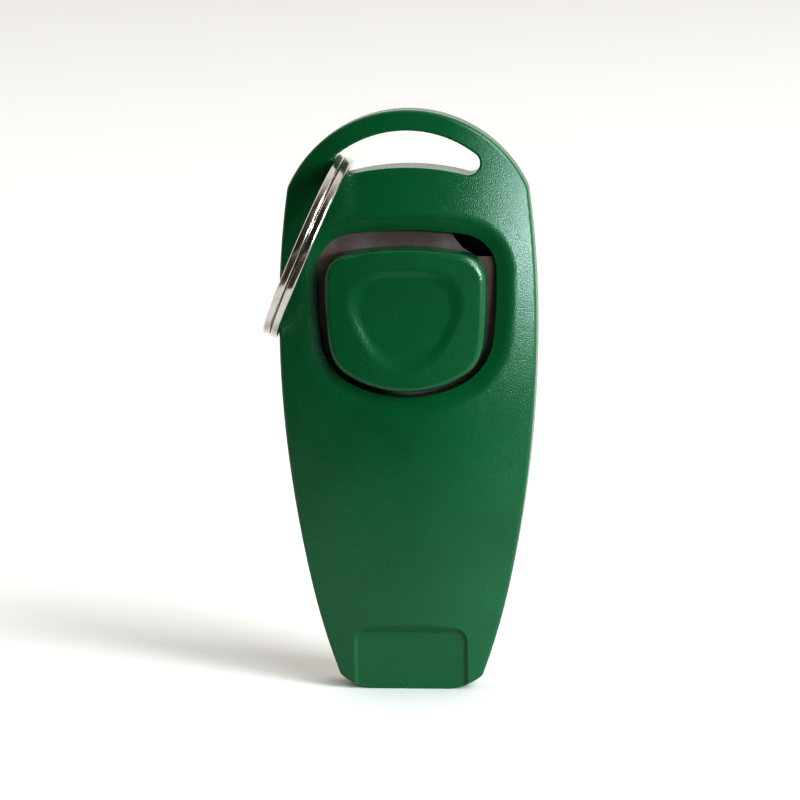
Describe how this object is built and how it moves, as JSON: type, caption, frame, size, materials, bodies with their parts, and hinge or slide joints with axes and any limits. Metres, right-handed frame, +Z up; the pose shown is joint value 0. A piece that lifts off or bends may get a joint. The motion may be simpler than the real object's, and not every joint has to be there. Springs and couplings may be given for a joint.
{
  "type": "clicker trainer",
  "caption": "Pocket dog-training clicker with a thumb button over a spring blade, a whistle in the mouthpiece end and a split ring in the top slot.",
  "frame": {"origin": "middle of the mouthpiece end face that the clicker stands on", "axes": "+Z up the body from the mouthpiece to the arch, the button faces -Y, +X to the right seen from the front"},
  "size_m": [0.0395, 0.028, 0.084],
  "materials": {
    "green_plastic": "fine spark grain",
    "black_plastic": "moulded",
    "spring_steel": "rolled",
    "zinc_screws": "zinc plated",
    "nickel_ring": "bright nickel"
  },
  "bodies": {
    "housing": {"front_shell": "green_plastic", "rear_shell": "green_plastic", "fipple_block": "green_plastic", "blade_clamp": "black_plastic", "clamp_screw_left": "zinc_screws", "clamp_screw_right": "zinc_screws", "case_screw_upper_left": "zinc_screws", "case_screw_upper_right": "zinc_screws", "case_screw_lower": "zinc_screws"},
    "clicker": {"clicker_button": "green_plastic", "spring_blade": "spring_steel"},
    "ring": {"split_ring": "nickel_ring"}
  },
  "joints": [
    {"name": "button_press", "type": "hinge", "parent": "housing", "child": "clicker", "pos_m": [0, -0.0023, 0.04], "axis": [-1, 0, 0], "range_deg": [0, 4.5], "stiffness_Nm_per_rad": 1.2, "springref_deg": -1.15},
    {"name": "ring_swing", "type": "hinge", "parent": "housing", "child": "ring", "pos_m": [-0.00908, 0.0006, 0.07653], "axis": [0, 1, 0], "range_deg": [0, 110]}
  ]
}
